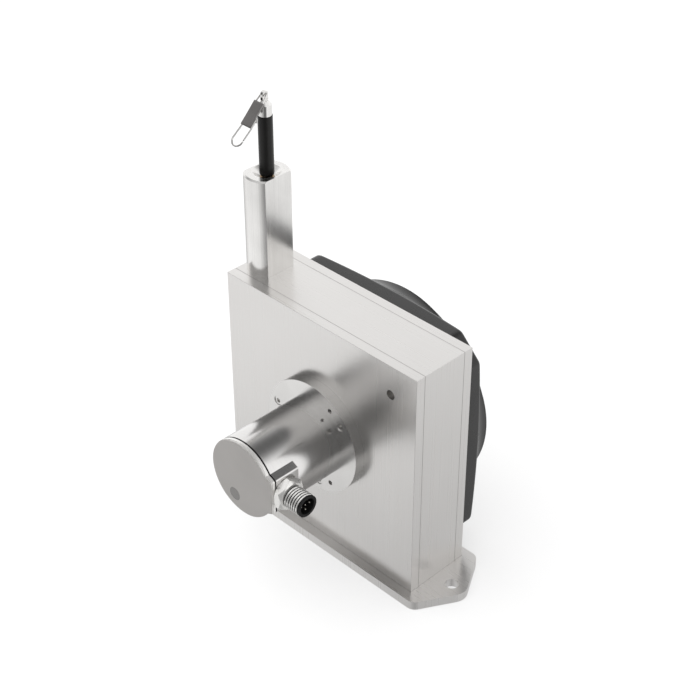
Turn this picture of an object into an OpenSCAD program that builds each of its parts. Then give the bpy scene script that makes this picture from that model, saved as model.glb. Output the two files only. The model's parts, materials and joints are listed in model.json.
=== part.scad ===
// Draw wire encoder: a wire drum with a spring motor in a flat sandwich housing, an encoder with
// an M12 plug on the front, and a wire that leaves through a tall outlet tube on the top.
// Millimetres. +Z up, -Y towards the encoder, +X towards the plug.
// Origin: centre of the base plate's underside, midway between its two mounting holes.

/* [Housing] */
// Width of the housing
housing_w = 130; // [124:1:150]
// Height of the housing above the base plate
housing_h = 131; // [126:1:150]
// Thickness of the middle frame, which holds the drum
frame_t = 27; // [26:0.5:34]
// Thickness of the front and of the rear plate
plate_t = 5.5; // [5:0.5:8]
// Thinnest wall of the middle frame round the drum
frame_wall = 4.5; // [4:0.5:8]
// Broken edge of the plates and the frame
edge_c = 0.1; // [0.1:0.1:0.6]
// Housing screws: distance of their centres from the housing's outer edges
corner_inset = 6; // [5.5:0.5:7]
// Housing screws: thread diameter
corner_screw_d = 4; // [3:0.5:5]
// Tapped hole in the front plate: thread diameter
tap_d = 5; // [3:0.5:6]

/* [Base plate] */
// Thickness of the base plate
base_t = 5; // [4:0.5:10]
// How far the base plate stands out in front of the housing and behind it
base_overhang = 5.4; // [3:0.1:12]
// How far each pointed end, before it is rounded, stands out beyond the housing's side
base_end = 20; // [19:0.5:30]
// Slant of the base plate's ends, from the side view's vertical
base_slant = 30; // [20:1:35]
// Corner radius of the base plate
base_corner_r = 5.5; // [2:0.5:8]
// Radius of the base plate's two pointed ends
base_tip_r = 8; // [4:0.5:10]
// From each pointed end, before it is rounded, to the centre of its mounting hole
mount_inset = 9.5; // [8.5:0.5:10.5]
// Diameter of the mounting holes
mount_hole_d = 7; // [4:0.1:8]
// Base screws: thread diameter
base_screw_d = 4; // [3:0.5:5]
// Base screws: length
base_screw_len = 14; // [10:1:18]
// Base screws: distance of their centres from the housing's sides
base_screw_inset = 17; // [13:1:23]

/* [Drum and shaft] */
// Height of the drum's axis above the middle of the housing
axis_up = 1.5; // [0:0.1:3]
// Sideways place of the drum's axis
axis_x = 1; // [0:0.1:3]
// Diameter of the draw wire
wire_d = 1; // [0.5:0.1:1.2]
// Distance from one turn of wire to the next
wire_pitch = 1.2; // [1.2:0.05:1.4]
// Turns of wire on the drum when the wire is in
turns = 9; // [4:1:9]
// Height of the drum's flanges above the middle of the wire
flange_h = 3; // [2:0.1:3.2]
// Thickness of the drum's flanges
drum_flange_t = 1.1; // [0.8:0.1:1.2]
// Thickness of the drum's rim under the wire
rim_t = 4.5; // [3:0.5:8]
// Thickness of the drum's web
web_t = 5; // [3:0.5:8]
// Diameter of the drum's hub
hub_d = 26; // [20:1:34]
// Number of lightening holes in the web
web_holes = 6; // [3:1:8]
// Diameter of the lightening holes
web_hole_d = 22; // [10:1:24]
// Diameter of the shaft
shaft_d = 10; // [9:0.5:12]
// Outer diameter of the two ball bearings
bearing_d = 19; // [18:0.5:24]
// Width of the ball bearings
bearing_w = 5; // [4:0.5:5]
// Width and height of the drum's key
key_w = 3; // [2:0.5:4]
// Length of the drum's key
key_len = 18; // [12:1:22]

/* [Wire outlet] */
// Diameter of the round bar that the outlet tube is cut from
tube_d = 23.4; // [20:0.1:26]
// Width of the outlet tube across its two flats
tube_w = 16; // [15.5:0.5:19]
// Height of the outlet tube above the housing
tube_h = 54.5; // [30:0.1:80]
// Chamfer of the outlet tube's round top edge
tube_c = 0.8; // [0.4:0.1:2]
// Diameter of the funnel-shaped mouth at the top
mouth_d = 14.4; // [12:0.1:14.8]
// Depth of the mouth, down to the guide bush
mouth_depth = 3; // [2:0.1:5]
// Diameter of the passage for the wire
passage_d = 5; // [3:0.5:5.5]
// Outer diameter of the guide bush
bush_d = 7; // [6:0.5:7.5]
// Length of the guide bush
bush_len = 5; // [3:0.5:10]
// Length of the felt wiper below the bush
wiper_len = 4; // [2:0.5:8]

/* [Wire end] */
// Diameter of the rubber bumper
bumper_d = 7.4; // [7:0.1:9]
// Length of the rubber bumper
bumper_len = 32.9; // [15:0.1:45]
// Rounding of the bumper's upper end
bumper_r = 0.4; // [0.2:0.1:1]
// Rounding of its lower end, which sits in the tube's mouth
bumper_tip_r = 2.2; // [0.5:0.1:2.6]
// Diameter of the swivel's barrel
barrel_d = 6.8; // [5.6:0.1:6.9]
// Length of the barrel's straight part
barrel_len = 5.5; // [5:0.1:12]
// Height of the barrel's cone
cone_h = 2; // [1.5:0.1:4]
// Diameter at the top of the barrel's cone
cone_d = 3.5; // [3:0.1:3.6]
// Diameter of the swivel's stem
stem_d = 2; // [1.4:0.1:2.2]
// Thickness of the eye
eye_t = 1.6; // [1.2:0.1:2]
// Width of the eye
eye_w = 3.6; // [3.2:0.1:4.2]
// Diameter of the eye's hole
eye_hole_d = 2; // [1.9:0.1:2.2]
// Height of the eye's hole above the barrel
eye_h = 3.2; // [2.8:0.1:5]

/* [Snap] */
// Diameter of the snap's wire
snap_wire_d = 0.9; // [0.6:0.05:1]
// Half the distance between the legs of the small loop, in the eye
small_loop_r = 1.9; // [1.7:0.1:2.2]
// From the eye's hole to the sleeve
sleeve_s = 4.5; // [4.5:0.1:8]
// Length of the sheet sleeve
sleeve_len = 13; // [10:0.5:18]
// Width of the sheet sleeve
sleeve_w = 6.5; // [5.6:0.1:7]
// Thickness of the sheet sleeve over the two wires
sleeve_t = 1.6; // [1.5:0.05:1.8]
// Thickness of the sleeve's sheet
sheet_t = 0.3; // [0.2:0.05:0.3]
// Length of the large loop below the sleeve
large_loop_len = 11; // [10:0.5:16]
// Half the distance between the legs of the large loop
large_loop_r = 3.4; // [3.2:0.1:4]
// How far the gate reaches up along the sleeve
gate_reach = 5; // [3:0.5:8]
// Lean of the hanging snap from the vertical
snap_lean = 45; // [45:1:60]

/* [Encoder] */
// Diameter of the flange ring on the front plate
ring_d = 62; // [58:0.5:70]
// Thickness of the flange ring
ring_t = 6; // [5:0.5:8]
// Pitch circle of the flange ring's holes
ring_pcd = 52; // [50:0.5:54]
// Flange screws: thread diameter
ring_screw_d = 3; // [2.5:0.5:3]
// Flange screws: head diameter
ring_head_d = 5; // [4:0.5:5.5]
// Clamp screws between them: diameter
clamp_d = 2.6; // [2:0.1:3]
// Diameter of the encoder body
enc_d = 42; // [40:0.5:46]
// From the front plate to the encoder's end face
enc_len = 53; // [46:0.5:70]
// Wall of the encoder body
enc_wall = 3; // [2.5:0.5:5]
// Bore of the encoder's neck and of the flange ring, round the magnet
neck_bore = 28; // [20:1:30]
// Length of the body's spigot in the flange ring
spigot_len = 3; // [2:0.5:4]
// Thickness of the end cap
cap_t = 2.4; // [2:0.1:4]
// Rounding of the end cap's rim
cap_r = 0.8; // [0.3:0.1:1.2]
// Thickness of the gasket behind the end cap
gasket_t = 0.6; // [0.4:0.1:1]
// How far the gasket lies back from the body's surface
gasket_inset = 0.5; // [0.3:0.1:1]
// Diameter of the LED window
led_d = 7.2; // [4:0.1:8]
// LED window: its turn about the axis from straight below, towards the left
led_turn = 23; // [-90:1:90]

/* [Plug] */
// From the encoder's axis to the flat face that the plug stands on
boss_x = 21.7; // [21.5:0.1:26]
// Half the height of that flat face
boss_half = 9.5; // [8.5:0.1:10.5]
// Where the boss's flanks leave the round body, as an angle from the plug's axis
boss_angle = 33; // [30:1:36]
// Depth of the plug's boss behind the end face
boss_depth = 17.5; // [16.5:0.5:22]
// From the end face to the plug's axis
plug_back = 8.7; // [8.5:0.1:9]
// Width across the flats of the plug's hexagon
plug_hex = 14; // [13.5:0.5:15]
// Length of the plug's hexagon
plug_hex_len = 5; // [3:0.5:8]
// Length of the collar between hexagon and thread
plug_neck_len = 0.6; // [0.5:0.1:2]
// Outer diameter of the plug's thread
plug_d = 12; // [11.8:0.1:12]
// Pitch of the plug's thread
plug_pitch = 1; // [0.9:0.05:1]
// Number of thread turns
plug_turns = 9; // [6:1:10]
// Thickness of the black rim that covers the end of the thread
plug_rim_t = 0.8; // [0.5:0.1:1.5]
// Inner diameter of the plug's shell
plug_bore = 10; // [9.6:0.1:10.2]
// Diameter of the contact pins
pin_d = 1; // [0.8:0.1:1]
// Pitch circle of the four outer contact pins
pin_pcd = 5.4; // [4.8:0.1:5.6]
// Length of the contact pins in front of the insert
pin_len = 6; // [4:0.5:7]

/* [Rear cover] */
// Depth of the rear cover's flange
cover_flange = 10.4; // [8:0.1:14]
// Depth of the whole rear cover
cover_depth = 24; // [22:0.5:34]
// From the flange's sides, at its ears, in to the round spring chamber
chamber_inset = 4.6; // [4.5:0.1:7]
// Fillet between the flange and the spring chamber
cover_fillet = 5; // [1:0.5:6]
// Wall of the spring chamber
cover_wall = 3; // [2:0.5:4]
// Rounding of the spring chamber's rear edge
chamber_edge = 3; // [1:0.5:4]
// From the housing's nearest side in to the flange's side
cover_margin = 2.7; // [1.5:0.1:5]
// Half the width of the flat end of each ear
ear_half = 9.1; // [8.5:0.1:12]
// Hollow of the flange's sides between the ears
side_hollow = 0.6; // [0.4:0.1:3]
// Rounding of the ears' corners
ear_r = 2; // [1:0.5:3]
// Cover screws, and the tapped hole: distance of their centres from the flat ends of the ears
cover_screw_inset = 10.1; // [8:0.1:11]
// Cover screws: thread diameter
cover_screw_d = 4; // [3:0.5:5]
// Number of turns of the power spring
spring_turns = 11; // [6:1:14]
// Thickness of the power spring's strip
strip_t = 0.6; // [0.4:0.1:0.8]
// Width of the power spring's strip
strip_w = 14; // [10:0.5:16]
// Diameter of the spring's arbor
arbor_d = 24; // [20:1:30]

/* [Hidden] */
$fn = 96;
fit = 0.02;            // radial clearance of pieces that are fixed in each other
running = 0.03;        // radial clearance of the bearings and the swivel
gap = 0.3;             // clearance between pieces that move past each other
drum_room = 1.5;       // radial clearance of the drum's flanges in the frame
side_room = 1;         // clearance of the drum between the two plates
end_room = 1.5;        // clearance of the arbor and the shaft from the rear cover's floor
magnet_room = 3.5;     // air gap between the magnet and the circuit board
led_wall = 1;          // wall between the LED window and the body's bore
blind = 2;             // metal left in front of a blind hole
cut = 1;               // how far a cutting tool passes a face
axis_z = base_t + housing_h / 2 + axis_up;
top_z = base_t + housing_h;
near_side = min(housing_w / 2 - axis_x, housing_h / 2 - axis_up);
half_t = frame_t / 2;
front_y = -(half_t + plate_t);
rear_y = half_t + plate_t;
cavity_r = near_side - frame_wall;
flange_r = cavity_r - drum_room;
wind_r = flange_r - flange_h;
wire_x = axis_x - wind_r;
land_r = wind_r - 0.1 * wire_d;
drum_half = half_t - side_room;
wire_bore = wire_d + 0.2;
groove_n = floor((drum_half - drum_flange_t - 0.4 * wire_d) / wire_pitch);
tube_top = top_z + tube_h;
bush_top = tube_top - mouth_depth;
bumper_z = bush_top + gap;
barrel_z = bumper_z + bumper_len;
cone_z = barrel_z + barrel_len;
eye_base_z = cone_z + cone_h + gap;
pivot_z = cone_z + cone_h + eye_h;
head_d = stem_d + 1.2;
head_len = 1.5;
head_z = barrel_z + 2.5;
eye_foot = 0.5;
end_y = front_y - enc_len;
ring_y = front_y - ring_t;
cap_y = end_y + cap_t;
body_y = cap_y + gasket_t;
plug_y = end_y + plug_back;
enc_bore = enc_d - 2 * enc_wall;
spigot_d = (enc_bore + neck_bore) / 2 + 2;
board_y = ring_y - 12;
board_t = 1.6;
magnet_d = 8;
magnet_t = 2.5;
carrier_y = board_y + magnet_room + magnet_t;
carrier_wall = 2;
plug_thread_x = boss_x + plug_hex_len + plug_neck_len;
plug_end_x = plug_thread_x + plug_turns * plug_pitch + plug_rim_t;
cover_half = near_side - cover_margin;
ear_reach = cover_half * sqrt(2) - ear_half;
cover_pcd = 2 * (ear_reach - cover_screw_inset);
chamber_r = cover_half - chamber_inset;
chamber_in = chamber_r - cover_wall;
arbor_end = rear_y + cover_depth - cover_wall - end_room;
shaft_end = arbor_end - 1;
spring_y = rear_y + 2.5;
steel = [0.72, 0.73, 0.74];
alloy = [0.80, 0.79, 0.78];
black = [0.09, 0.09, 0.10];

// --- helpers -------------------------------------------------------------------------------------

// Points of a round corner of radius r at b, between its neighbours a and c
function corner(a, b, c, r, n) =
    let (u = (a - b) / norm(a - b), v = (c - b) / norm(c - b), half = acos(u * v) / 2)
    let (o = b + (u + v) / norm(u + v) * r / sin(half), p = b + u * r / tan(half) - o)
    let (q = b + v * r / tan(half) - o, from = atan2(p[1], p[0]), to = atan2(q[1], q[0]))
    let (sweep = (to - from + 540) % 360 - 180)
    [for (i = [0:n]) o + r * [cos(from + sweep * i / n), sin(from + sweep * i / n)]];

// An outline with each corner rounded by its own radius
function rounded(points, radii, n = 8) = let (m = len(points))
    [for (i = [0:m - 1]) each corner(points[(i + m - 1) % m], points[i], points[(i + 1) % m], radii[i], n)];

// The corner positions of a rectangle, as signs
quarters = [[1, 1], [-1, 1], [-1, -1], [1, -1]];

// An X-Z outline made solid from y0 to y1
module slab(y0, y1) {
    translate([0, y1, 0]) rotate([90, 0, 0]) linear_extrude(y1 - y0) children();
}

// A cylinder along Y from y0 to y1
module rod_y(d, y0, y1, x = axis_x, z = axis_z) {
    translate([x, y1, z]) rotate([90, 0, 0]) cylinder(d = d, h = y1 - y0);
}

// A cylinder along X from x0 to x1
module rod_x(d, x0, x1, y, z) {
    translate([x0, y, z]) rotate([0, 90, 0]) cylinder(d = d, h = x1 - x0);
}

// Turned about the drum's axis: the profile's first value is the radius, the second one is y
module turned_y() {
    translate([axis_x, 0, axis_z]) rotate([-90, 0, 0]) rotate_extrude() children();
}

// A box with broken edges round its front and rear faces and down its upright corners
module broken_box(size, c) {
    w = size[0];
    t = size[1];
    h = size[2];
    side = [[0, c], [c, 0], [t - c, 0], [t, c], [t, h - c], [t - c, h], [c, h], [0, h - c]];
    plan = [[0, c], [c, 0], [w - c, 0], [w, c], [w, t - c], [w - c, t], [c, t], [0, t - c]];
    intersection() {
        translate([-w / 2, 0, 0]) linear_extrude(h) polygon(plan);
        translate([-w / 2, 0, 0]) rotate([90, 0, 90]) linear_extrude(w) polygon(side);
    }
}

// Sizes of a screw's hexagon socket, as shares of the thread's and of the head's diameter
hex_thread = 0.62;
hex_head = 0.55;
hex_depth = 0.4;

// A countersunk screw along -Z with its flat head's top at z = 0; grow makes its hole
module flat_screw(d, length, grow = 0) {
    head_r = d;
    tip_room = grow > 0 ? gap : 0;
    difference() {
        union() {
            translate([0, 0, -length - tip_room]) cylinder(d = d + 2 * grow, h = length + tip_room);
            translate([0, 0, -d / 2]) cylinder(r1 = d / 2 + grow, r2 = head_r + grow, h = d / 2);
            if (grow > 0) cylinder(r = head_r + grow, h = cut);
        }
        if (grow == 0) translate([0, 0, -d * hex_depth]) cylinder(d = d * hex_thread, h = d, $fn = 6);
    }
}

// A socket head screw along -Z with its head's underside at z = 0
module socket_screw(d, head_d, head_h, length) {
    difference() {
        union() {
            translate([0, 0, -length]) cylinder(d = d, h = length + head_h / 2);
            cylinder(d = head_d, h = head_h);
        }
        translate([0, 0, head_h * hex_depth]) cylinder(d = head_d * hex_head, h = head_h, $fn = 6);
    }
}

// --- base plate ----------------------------------------------------------------------------------

base_half_y = rear_y + base_overhang;
base_tip_x = housing_w / 2 + base_end;
base_corner_x = base_tip_x - base_half_y * tan(base_slant);
base_screw_x = housing_w / 2 - base_screw_inset;

module base_screw_places() {
    for (x = [-base_screw_x, base_screw_x], y = [-half_t / 2, half_t / 2])
        translate([x, y, 0]) mirror([0, 0, 1]) children();
}

module base_plate() color(alloy) difference() {
    linear_extrude(base_t) polygon(rounded(
        [[base_tip_x, 0], [base_corner_x, base_half_y], [-base_corner_x, base_half_y],
         [-base_tip_x, 0], [-base_corner_x, -base_half_y], [base_corner_x, -base_half_y]],
        [base_tip_r, base_corner_r, base_corner_r, base_tip_r, base_corner_r, base_corner_r]));
    for (side = [-1, 1])
        translate([side * (base_tip_x - mount_inset), 0, -cut])
            cylinder(d = mount_hole_d, h = base_t + 2 * cut);
    base_screw_places() flat_screw(base_screw_d, base_screw_len, fit);
}

module base_screws() color(steel)
    base_screw_places() translate([0, 0, -fit]) flat_screw(base_screw_d, base_screw_len);

// --- housing -------------------------------------------------------------------------------------

corner_x = housing_w / 2 - corner_inset;
corner_len = plate_t + frame_t + plate_t - blind;

module corner_places() {
    for (q = quarters)
        translate([q[0] * corner_x, rear_y, base_t + housing_h / 2 + q[1] * (housing_h / 2 - corner_inset)])
            rotate([-90, 0, 0]) children();
}

module ring_places(angles) {
    for (a = angles)
        translate([axis_x + ring_pcd / 2 * cos(a), ring_y, axis_z + ring_pcd / 2 * sin(a)])
            rotate([90, 0, 0]) children();
}

flange_angles = [40, 160, 280];
clamp_angles = [60, 180, 300];
ring_head_h = ring_screw_d;
ring_screw_len = ring_t - ring_head_h + plate_t - blind;
bearing_lip = 1.5;
race_t = 1.2;
shield_depth = 0.3;

module middle_frame() color(alloy) difference() {
    translate([0, -half_t, base_t]) broken_box([housing_w, frame_t, housing_h], edge_c);
    rod_y(2 * cavity_r, -half_t - cut, half_t + cut);
    translate([wire_x, 0, axis_z]) cylinder(d = passage_d, h = housing_h);
    corner_places() flat_screw(corner_screw_d, corner_len, fit);
    base_screw_places() flat_screw(base_screw_d, base_screw_len, fit);
}

module front_plate() color(alloy) difference() {
    translate([0, front_y, base_t]) broken_box([housing_w, plate_t, housing_h], edge_c);
    rod_y(bearing_d + 2 * fit, -half_t - bearing_w, -half_t + cut);
    rod_y(bearing_d - 2 * bearing_lip, front_y - cut, -half_t);
    rod_y(tap_d, front_y - cut, -half_t + cut, axis_x + cover_pcd / sqrt(8), axis_z + cover_pcd / sqrt(8));
    corner_places() flat_screw(corner_screw_d, corner_len, fit);
    ring_places(flange_angles) translate([0, 0, -ring_head_h])
        mirror([0, 0, 1]) cylinder(d = ring_screw_d + 2 * fit, h = ring_screw_len);
}

module rear_plate() color(alloy) difference() {
    translate([0, half_t, base_t]) broken_box([housing_w, plate_t, housing_h], edge_c);
    rod_y(bearing_d + 2 * fit, half_t - cut, half_t + bearing_w);
    rod_y(bearing_d - 2 * bearing_lip, half_t, rear_y + cut);
    corner_places() flat_screw(corner_screw_d, corner_len, fit);
    cover_places() cylinder(d = cover_screw_d + 2 * fit, h = 2 * (plate_t - blind + cut), center = true);
}

module housing_screws() color(steel)
    corner_places() translate([0, 0, -fit]) flat_screw(corner_screw_d, corner_len);

// A bearing's rings and shield as one ring
module bearing(y0) color(steel) difference() {
    rod_y(bearing_d, y0, y0 + bearing_w);
    rod_y(shaft_d + 2 * running, y0 - cut, y0 + bearing_w + cut);
    for (y = [y0, y0 + bearing_w]) difference() {
        rod_y(bearing_d - 2 * race_t, y - shield_depth, y + shield_depth);
        rod_y(shaft_d + 2 * race_t, y - cut, y + cut);
    }
}

module front_bearing() bearing(-half_t - bearing_w);

module rear_bearing() bearing(half_t);

// --- wire outlet ---------------------------------------------------------------------------------

// A turned bar with a chamfered end and two milled flats, and a funnel down to the bush
module outlet_tube() color(alloy) translate([wire_x, 0, top_z]) difference() {
    rotate_extrude() polygon([[0, 0], [tube_d / 2, 0], [tube_d / 2, tube_h - tube_c],
        [tube_d / 2 - tube_c, tube_h], [0, tube_h]]);
    for (side = [-1, 1]) translate([side * (tube_w + tube_d) / 2, 0, tube_h / 2])
        cube([tube_d, tube_d + cut, tube_h + 2 * cut], center = true);
    translate([0, 0, -cut]) cylinder(d = passage_d, h = tube_h);
    translate([0, 0, tube_h - mouth_depth - bush_len - wiper_len])
        cylinder(d = bush_d + 2 * fit, h = tube_h);
    translate([0, 0, tube_h - mouth_depth])
        cylinder(d1 = bush_d + 2 * fit, d2 = mouth_d, h = mouth_depth);
    translate([0, 0, tube_h]) cylinder(d = mouth_d, h = cut);
}

module guide_bush() color([0.55, 0.50, 0.42]) translate([wire_x, 0, bush_top - bush_len]) difference() {
    cylinder(d = bush_d, h = bush_len);
    translate([0, 0, -cut]) cylinder(d = wire_bore, h = bush_len + 2 * cut);
}

module wire_wiper() color([0.85, 0.83, 0.78])
    translate([wire_x, 0, bush_top - bush_len - wiper_len]) difference() {
        cylinder(d = bush_d, h = wiper_len);
        translate([0, 0, -cut]) cylinder(d = wire_bore, h = wiper_len + 2 * cut);
    }

// --- drum, shaft and wire ------------------------------------------------------------------------

hub_half = half_t - gap;

module key_block(grow = 0) {
    translate([axis_x - key_w / 2 - grow, -key_len / 2 - grow, axis_z + shaft_d / 2 - key_w / 2 - grow])
        cube([key_w + 2 * grow, key_len + 2 * grow, key_w + 2 * grow]);
}

module wire_drum() color([0.86, 0.86, 0.84]) difference() {
    turned_y() difference() {
        union() {
            translate([shaft_d / 2 + fit, -hub_half]) square([(hub_d - shaft_d) / 2 - fit, 2 * hub_half]);
            translate([hub_d / 2 - cut, -web_t / 2]) square([land_r - hub_d / 2, web_t]);
            translate([land_r - rim_t, -drum_half]) square([rim_t, 2 * drum_half]);
            for (y = [-drum_half, drum_half - drum_flange_t])
                translate([land_r - rim_t, y]) square([flange_r - land_r + rim_t, drum_flange_t]);
        }
        for (i = [-groove_n:groove_n]) translate([wind_r, i * wire_pitch])
            circle(d = wire_d + 0.1, $fn = 24);
    }
    for (i = [0:web_holes - 1]) rotate_about_axis(i * 360 / web_holes)
        rod_y(web_hole_d, -web_t, web_t, (hub_d / 2 + land_r - rim_t) / 2 + axis_x);
    key_block(fit);
}

module rotate_about_axis(a) {
    translate([axis_x, 0, axis_z]) rotate([0, a, 0]) translate([-axis_x, 0, -axis_z]) children();
}

module drum_key() color(steel) key_block();

carrier_grip = 2;
clip_t = 1;
clip_y = front_y - clip_t / 2 - 1;
clip_rim = 2;
clip_groove = 0.4;

module drum_shaft() color(steel) difference() {
    rod_y(shaft_d, carrier_y + carrier_grip, shaft_end);
    key_block(fit);
    difference() {
        rod_y(shaft_d + cut, clip_y - fit, clip_y + clip_t + fit);
        rod_y(shaft_d - 2 * clip_groove, clip_y - cut, clip_y + clip_t + cut);
    }
    translate([axis_x, pin_y, axis_z]) cylinder(d = arbor_pin_d + 2 * fit, h = shaft_d + cut, center = true);
}

module retaining_ring() color([0.2, 0.2, 0.21]) difference() {
    rod_y(shaft_d + 2 * clip_rim, clip_y, clip_y + clip_t);
    rod_y(shaft_d - 2 * clip_groove + 2 * fit, clip_y - cut, clip_y + clip_t + cut);
    translate([axis_x - clip_rim, clip_y - cut, axis_z - shaft_d])
        cube([2 * clip_rim, clip_t + 2 * cut, shaft_d]);
}

module wound_wire() color(steel) for (i = [1:turns])
    turned_y() translate([wind_r, -i * wire_pitch]) circle(d = wire_d, $fn = 24);

module draw_wire() color(steel)
    translate([wire_x, 0, axis_z]) cylinder(d = wire_d, h = barrel_z - axis_z, $fn = 24);

// --- wire end: bumper, swivel and snap -----------------------------------------------------------

module bumper() color(black) translate([wire_x, 0, bumper_z]) rotate_extrude() difference() {
    union() {
        translate([0, bumper_tip_r]) square([bumper_d / 2, bumper_len - bumper_tip_r - bumper_r]);
        square([bumper_d / 2 - bumper_tip_r, bumper_len]);
        translate([0, bumper_len / 2]) square([bumper_d / 2 - bumper_r, bumper_len / 2]);
        translate([bumper_d / 2 - bumper_tip_r, bumper_tip_r]) circle(r = bumper_tip_r);
        translate([bumper_d / 2 - bumper_r, bumper_len - bumper_r]) circle(r = bumper_r);
    }
    translate([-bumper_d, -cut]) square([bumper_d + wire_bore / 2, bumper_len + 2 * cut]);
}

module swivel_barrel() color(steel) translate([wire_x, 0, 0]) difference() {
    union() {
        translate([0, 0, barrel_z]) cylinder(d = barrel_d, h = barrel_len);
        translate([0, 0, cone_z]) cylinder(d1 = barrel_d, d2 = cone_d, h = cone_h);
    }
    translate([0, 0, head_z + cut]) cylinder(d = stem_d + 2 * running, h = barrel_len + cone_h);
    translate([0, 0, head_z]) cylinder(d = head_d + 2 * running, h = head_len + 2 * running);
}

module swivel_eye() color(steel) translate([wire_x, 0, 0]) difference() {
    union() {
        translate([0, 0, head_z + running]) cylinder(d = head_d, h = head_len);
        translate([0, 0, head_z + cut]) cylinder(d = stem_d, h = eye_base_z - head_z);
        translate([0, 0, eye_base_z]) cylinder(d = eye_w, h = eye_foot);
        translate([-eye_t / 2, -eye_w / 2, eye_base_z]) cube([eye_t, eye_w, pivot_z - eye_base_z]);
        rod_x(eye_w, -eye_t / 2, eye_t / 2, 0, pivot_z);
    }
    rod_x(eye_hole_d, -eye_t, eye_t, 0, pivot_z);
}

// The snap's own frame: X across it, +Z from the eye's hole along the snap to its free end
module snap_frame() {
    translate([wire_x, 0, pivot_z]) rotate([180 - snap_lean, 0, 0]) children();
}

// A straight piece of the snap's wire between two points given as [across, along], with round ends
module leg(p, q) {
    d = q - p;
    translate([p[0], 0, p[1]]) rotate([0, atan2(d[0], d[1]), 0]) cylinder(d = snap_wire_d, h = norm(d), $fn = 24);
    for (e = [p, q]) translate([e[0], 0, e[1]]) sphere(d = knob_d, $fn = 24);
}

// A bow of the snap's wire about [across, along] over the angles given, from +X towards the free end
module bow(centre, r, from, sweep) {
    translate([centre[0], 0, centre[1]]) rotate([90, 0, 0]) rotate([0, 0, from])
        rotate_extrude(angle = sweep) translate([r, 0]) circle(d = snap_wire_d, $fn = 24);
}

knob_d = snap_wire_d + 0.06;
sleeve_cover = 1;
hook_out = 0.8;
hook_down = 1.2;
sleeve_end = sleeve_s + sleeve_len;
leg_x = sleeve_w / 2 - sheet_t - knob_d / 2 - fit;
bow_s = sleeve_end + large_loop_len - large_loop_r - snap_wire_d / 2;
gate_x = sleeve_w / 2 + gap + knob_d / 2;
gate_s = bow_s - gap - knob_d / 2;
gate_top = sleeve_end - gate_reach;

module snap_wire() color(steel) snap_frame() {
    bow([0, small_loop_r], small_loop_r, 180, 180);
    for (side = [-1, 1]) leg([side * small_loop_r, small_loop_r], [side * leg_x, sleeve_s + sleeve_cover]);
    leg([leg_x, sleeve_s + sleeve_cover], [leg_x, sleeve_end - sleeve_cover]);
    leg([-leg_x, sleeve_s + sleeve_cover], [-leg_x, sleeve_end]);
    leg([-leg_x, sleeve_end], [-large_loop_r, bow_s]);
    bow([0, bow_s], large_loop_r, 0, 180);
}

module snap_sleeve() color([0.42, 0.42, 0.42]) snap_frame() translate([0, 0, sleeve_s])
    linear_extrude(sleeve_len) difference() {
        square([sleeve_w, sleeve_t], center = true);
        square([sleeve_w - 2 * sheet_t, sleeve_t - 2 * sheet_t], center = true);
    }

module snap_gate() color(steel) snap_frame() {
    leg([large_loop_r, gate_s], [gate_x, sleeve_end]);
    leg([gate_x, sleeve_end], [gate_x, gate_top]);
    leg([gate_x, gate_top], [gate_x + hook_out, gate_top + hook_down]);
}

// --- encoder -------------------------------------------------------------------------------------

led_out = enc_bore / 2 - led_wall - led_d / 2;
led_centre = [axis_x - led_out * sin(led_turn), axis_z - led_out * cos(led_turn)];
led_inset = 0.05;
cap_lip = 1;

// Outline of the encoder's end, seen from the rear: a circle with the plug's boss on its side
module end_outline(inset = 0) {
    r = enc_d / 2 - inset;
    side = r * cos(boss_angle);
    x = boss_x - inset;
    h = boss_half - inset;
    root = h + enc_d / 2 * sin(boss_angle) - boss_half;
    translate([axis_x, axis_z]) {
        circle(r = r);
        polygon(rounded([[0, -h], [side, -root], [x, -h], [x, h], [side, root], [0, h]],
            [0.1, 1.5, 1, 1, 1.5, 0.1], 4));
    }
}

module encoder_flange() color(alloy) difference() {
    union() {
        rod_y(ring_d, ring_y + edge_c, front_y);
        rod_y(ring_d - 2 * edge_c, ring_y, front_y);
    }
    rod_y(spigot_d + 2 * fit, ring_y - cut, ring_y + spigot_len);
    rod_y(neck_bore, ring_y - cut, front_y + cut);
    ring_places(flange_angles) {
        translate([0, 0, -ring_head_h - fit]) cylinder(d = ring_head_d + 2 * fit, h = ring_head_h + cut);
        mirror([0, 0, 1]) cylinder(d = ring_screw_d + 2 * fit, h = 2 * ring_t);
    }
    ring_places(clamp_angles) mirror([0, 0, 1]) cylinder(d = clamp_d + 2 * fit, h = 2 * ring_t, center = true);
}

module flange_screws() color(steel) ring_places(flange_angles) translate([0, 0, -ring_head_h])
    socket_screw(ring_screw_d, ring_head_d, ring_head_h - 0.4, ring_screw_len);

module clamp_screws() color([0.25, 0.25, 0.26]) ring_places(clamp_angles)
    translate([0, 0, -ring_t]) difference() {
        cylinder(d = clamp_d, h = ring_t - 0.6);
        translate([0, 0, ring_t - 2]) cylinder(d = clamp_d * 0.55, h = 2, $fn = 6);
    }

module encoder_body() color(alloy) difference() {
    union() {
        rod_y(enc_d, body_y, ring_y);
        rod_y(spigot_d, ring_y - cut, ring_y + spigot_len - fit);
        slab(body_y, end_y + boss_depth) end_outline();
    }
    rod_y(enc_bore, body_y - cut, board_y);
    rod_y(neck_bore, body_y - cut, ring_y + spigot_len + cut);
    rod_x(plug_root_d + 2 * fit, axis_x + enc_bore / 2 - enc_wall, axis_x + boss_x + cut, plug_y, axis_z);
}

module encoder_gasket() color(black) difference() {
    slab(cap_y, body_y) end_outline(gasket_inset);
    rod_y(enc_bore, cap_y - cut, body_y + cut);
}

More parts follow.
